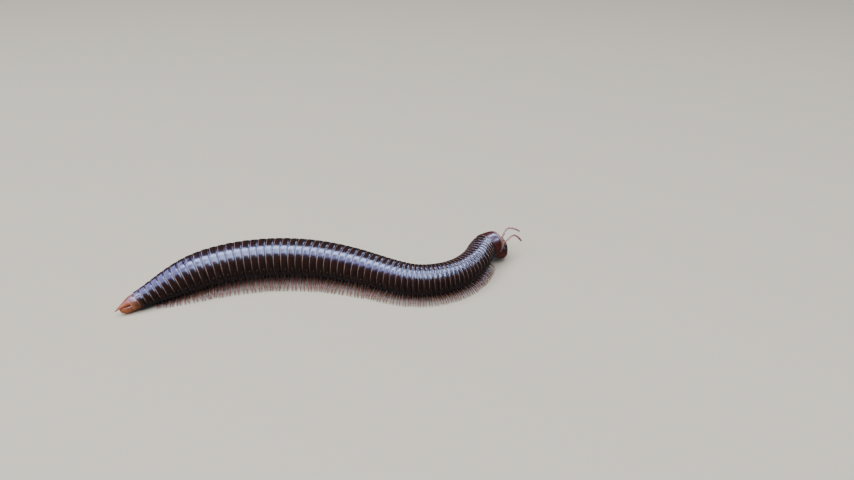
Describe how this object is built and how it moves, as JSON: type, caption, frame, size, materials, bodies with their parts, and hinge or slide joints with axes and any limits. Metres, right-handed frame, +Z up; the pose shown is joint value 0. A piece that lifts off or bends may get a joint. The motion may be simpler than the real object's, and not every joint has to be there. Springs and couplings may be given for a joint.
{
  "type": "millipede",
  "caption": "Life-size giant millipede standing in an S-shaped walk: ringed trunk with a fringe of fine legs, domed head with two feelers, pointed tail.",
  "frame": {"origin": "on the floor, under the middle of the whole animal's bounding box", "axes": "+Z up from the floor, +X towards the head along the animal's longest extent, +Y to the left of the body's middle stretch"},
  "size_m": [0.1042, 0.031, 0.0126],
  "materials": {
    "shell": "glossy near-black brown cuticle with thin pale hind margins",
    "head_shell": "glossy reddish-brown cuticle",
    "tail_shell": "orange-brown cuticle",
    "limb": "reddish-brown cuticle with paler joints",
    "eye": "glossy black"
  },
  "bodies": {
    "root": {"trunk_1": "shell", "trunk_2": "shell", "trunk_3": "shell", "trunk_4": "shell", "trunk_5": "shell", "trunk_6": "shell", "trunk_7": "shell", "trunk_8": "shell", "trunk_9": "shell", "collum": "head_shell", "head": "head_shell", "jaw_left": "head_shell", "jaw_right": "head_shell", "chin_plate": "head_shell", "eye_left": "eye", "eye_right": "eye", "antenna_left": "limb", "antenna_right": "limb", "telson": "tail_shell", "anal_valve_left": "tail_shell", "anal_valve_right": "tail_shell"}
  },
  "joints": []
}
